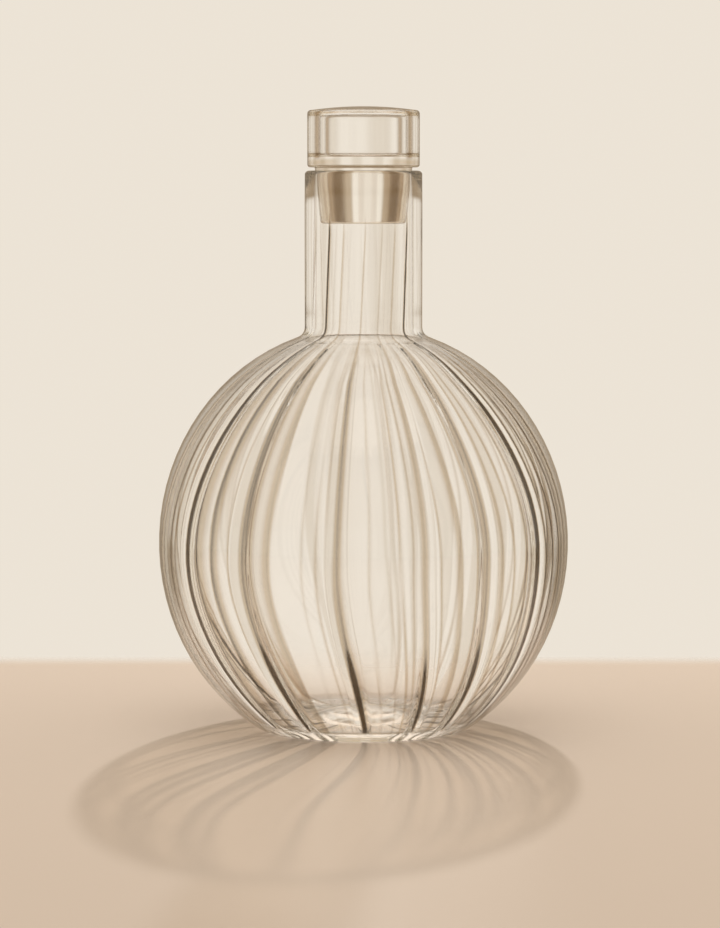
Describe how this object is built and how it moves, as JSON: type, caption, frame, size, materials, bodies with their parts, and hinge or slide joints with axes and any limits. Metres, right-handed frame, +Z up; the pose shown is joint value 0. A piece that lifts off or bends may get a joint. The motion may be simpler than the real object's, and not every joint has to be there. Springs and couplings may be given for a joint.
{
  "type": "decanter",
  "caption": "Round clear-glass decanter with ribs inside its globe and straight neck, and a lift-out stopper with a tapered plug and a hollow cylindrical knob.",
  "frame": {"origin": "centre of the base, on the surface that the decanter stands on", "axes": "+Z up along the flask's axis; the pictured side faces -Y and +X is to its right"},
  "size_m": [0.1496, 0.1496, 0.2267],
  "materials": {
    "flask_glass": "clear blown glass, polished, faint warm cast",
    "stopper_glass": "clear solid and hollow glass, polished"
  },
  "bodies": {
    "flask": {"flask": "flask_glass"},
    "stopper": {"stopper_plug": "stopper_glass", "stopper_knob": "stopper_glass"}
  },
  "joints": [
    {"name": "stopper_lift", "type": "slide", "parent": "flask", "child": "stopper", "axis": [0, 0, 1], "range_m": [0, 0.06]}
  ]
}
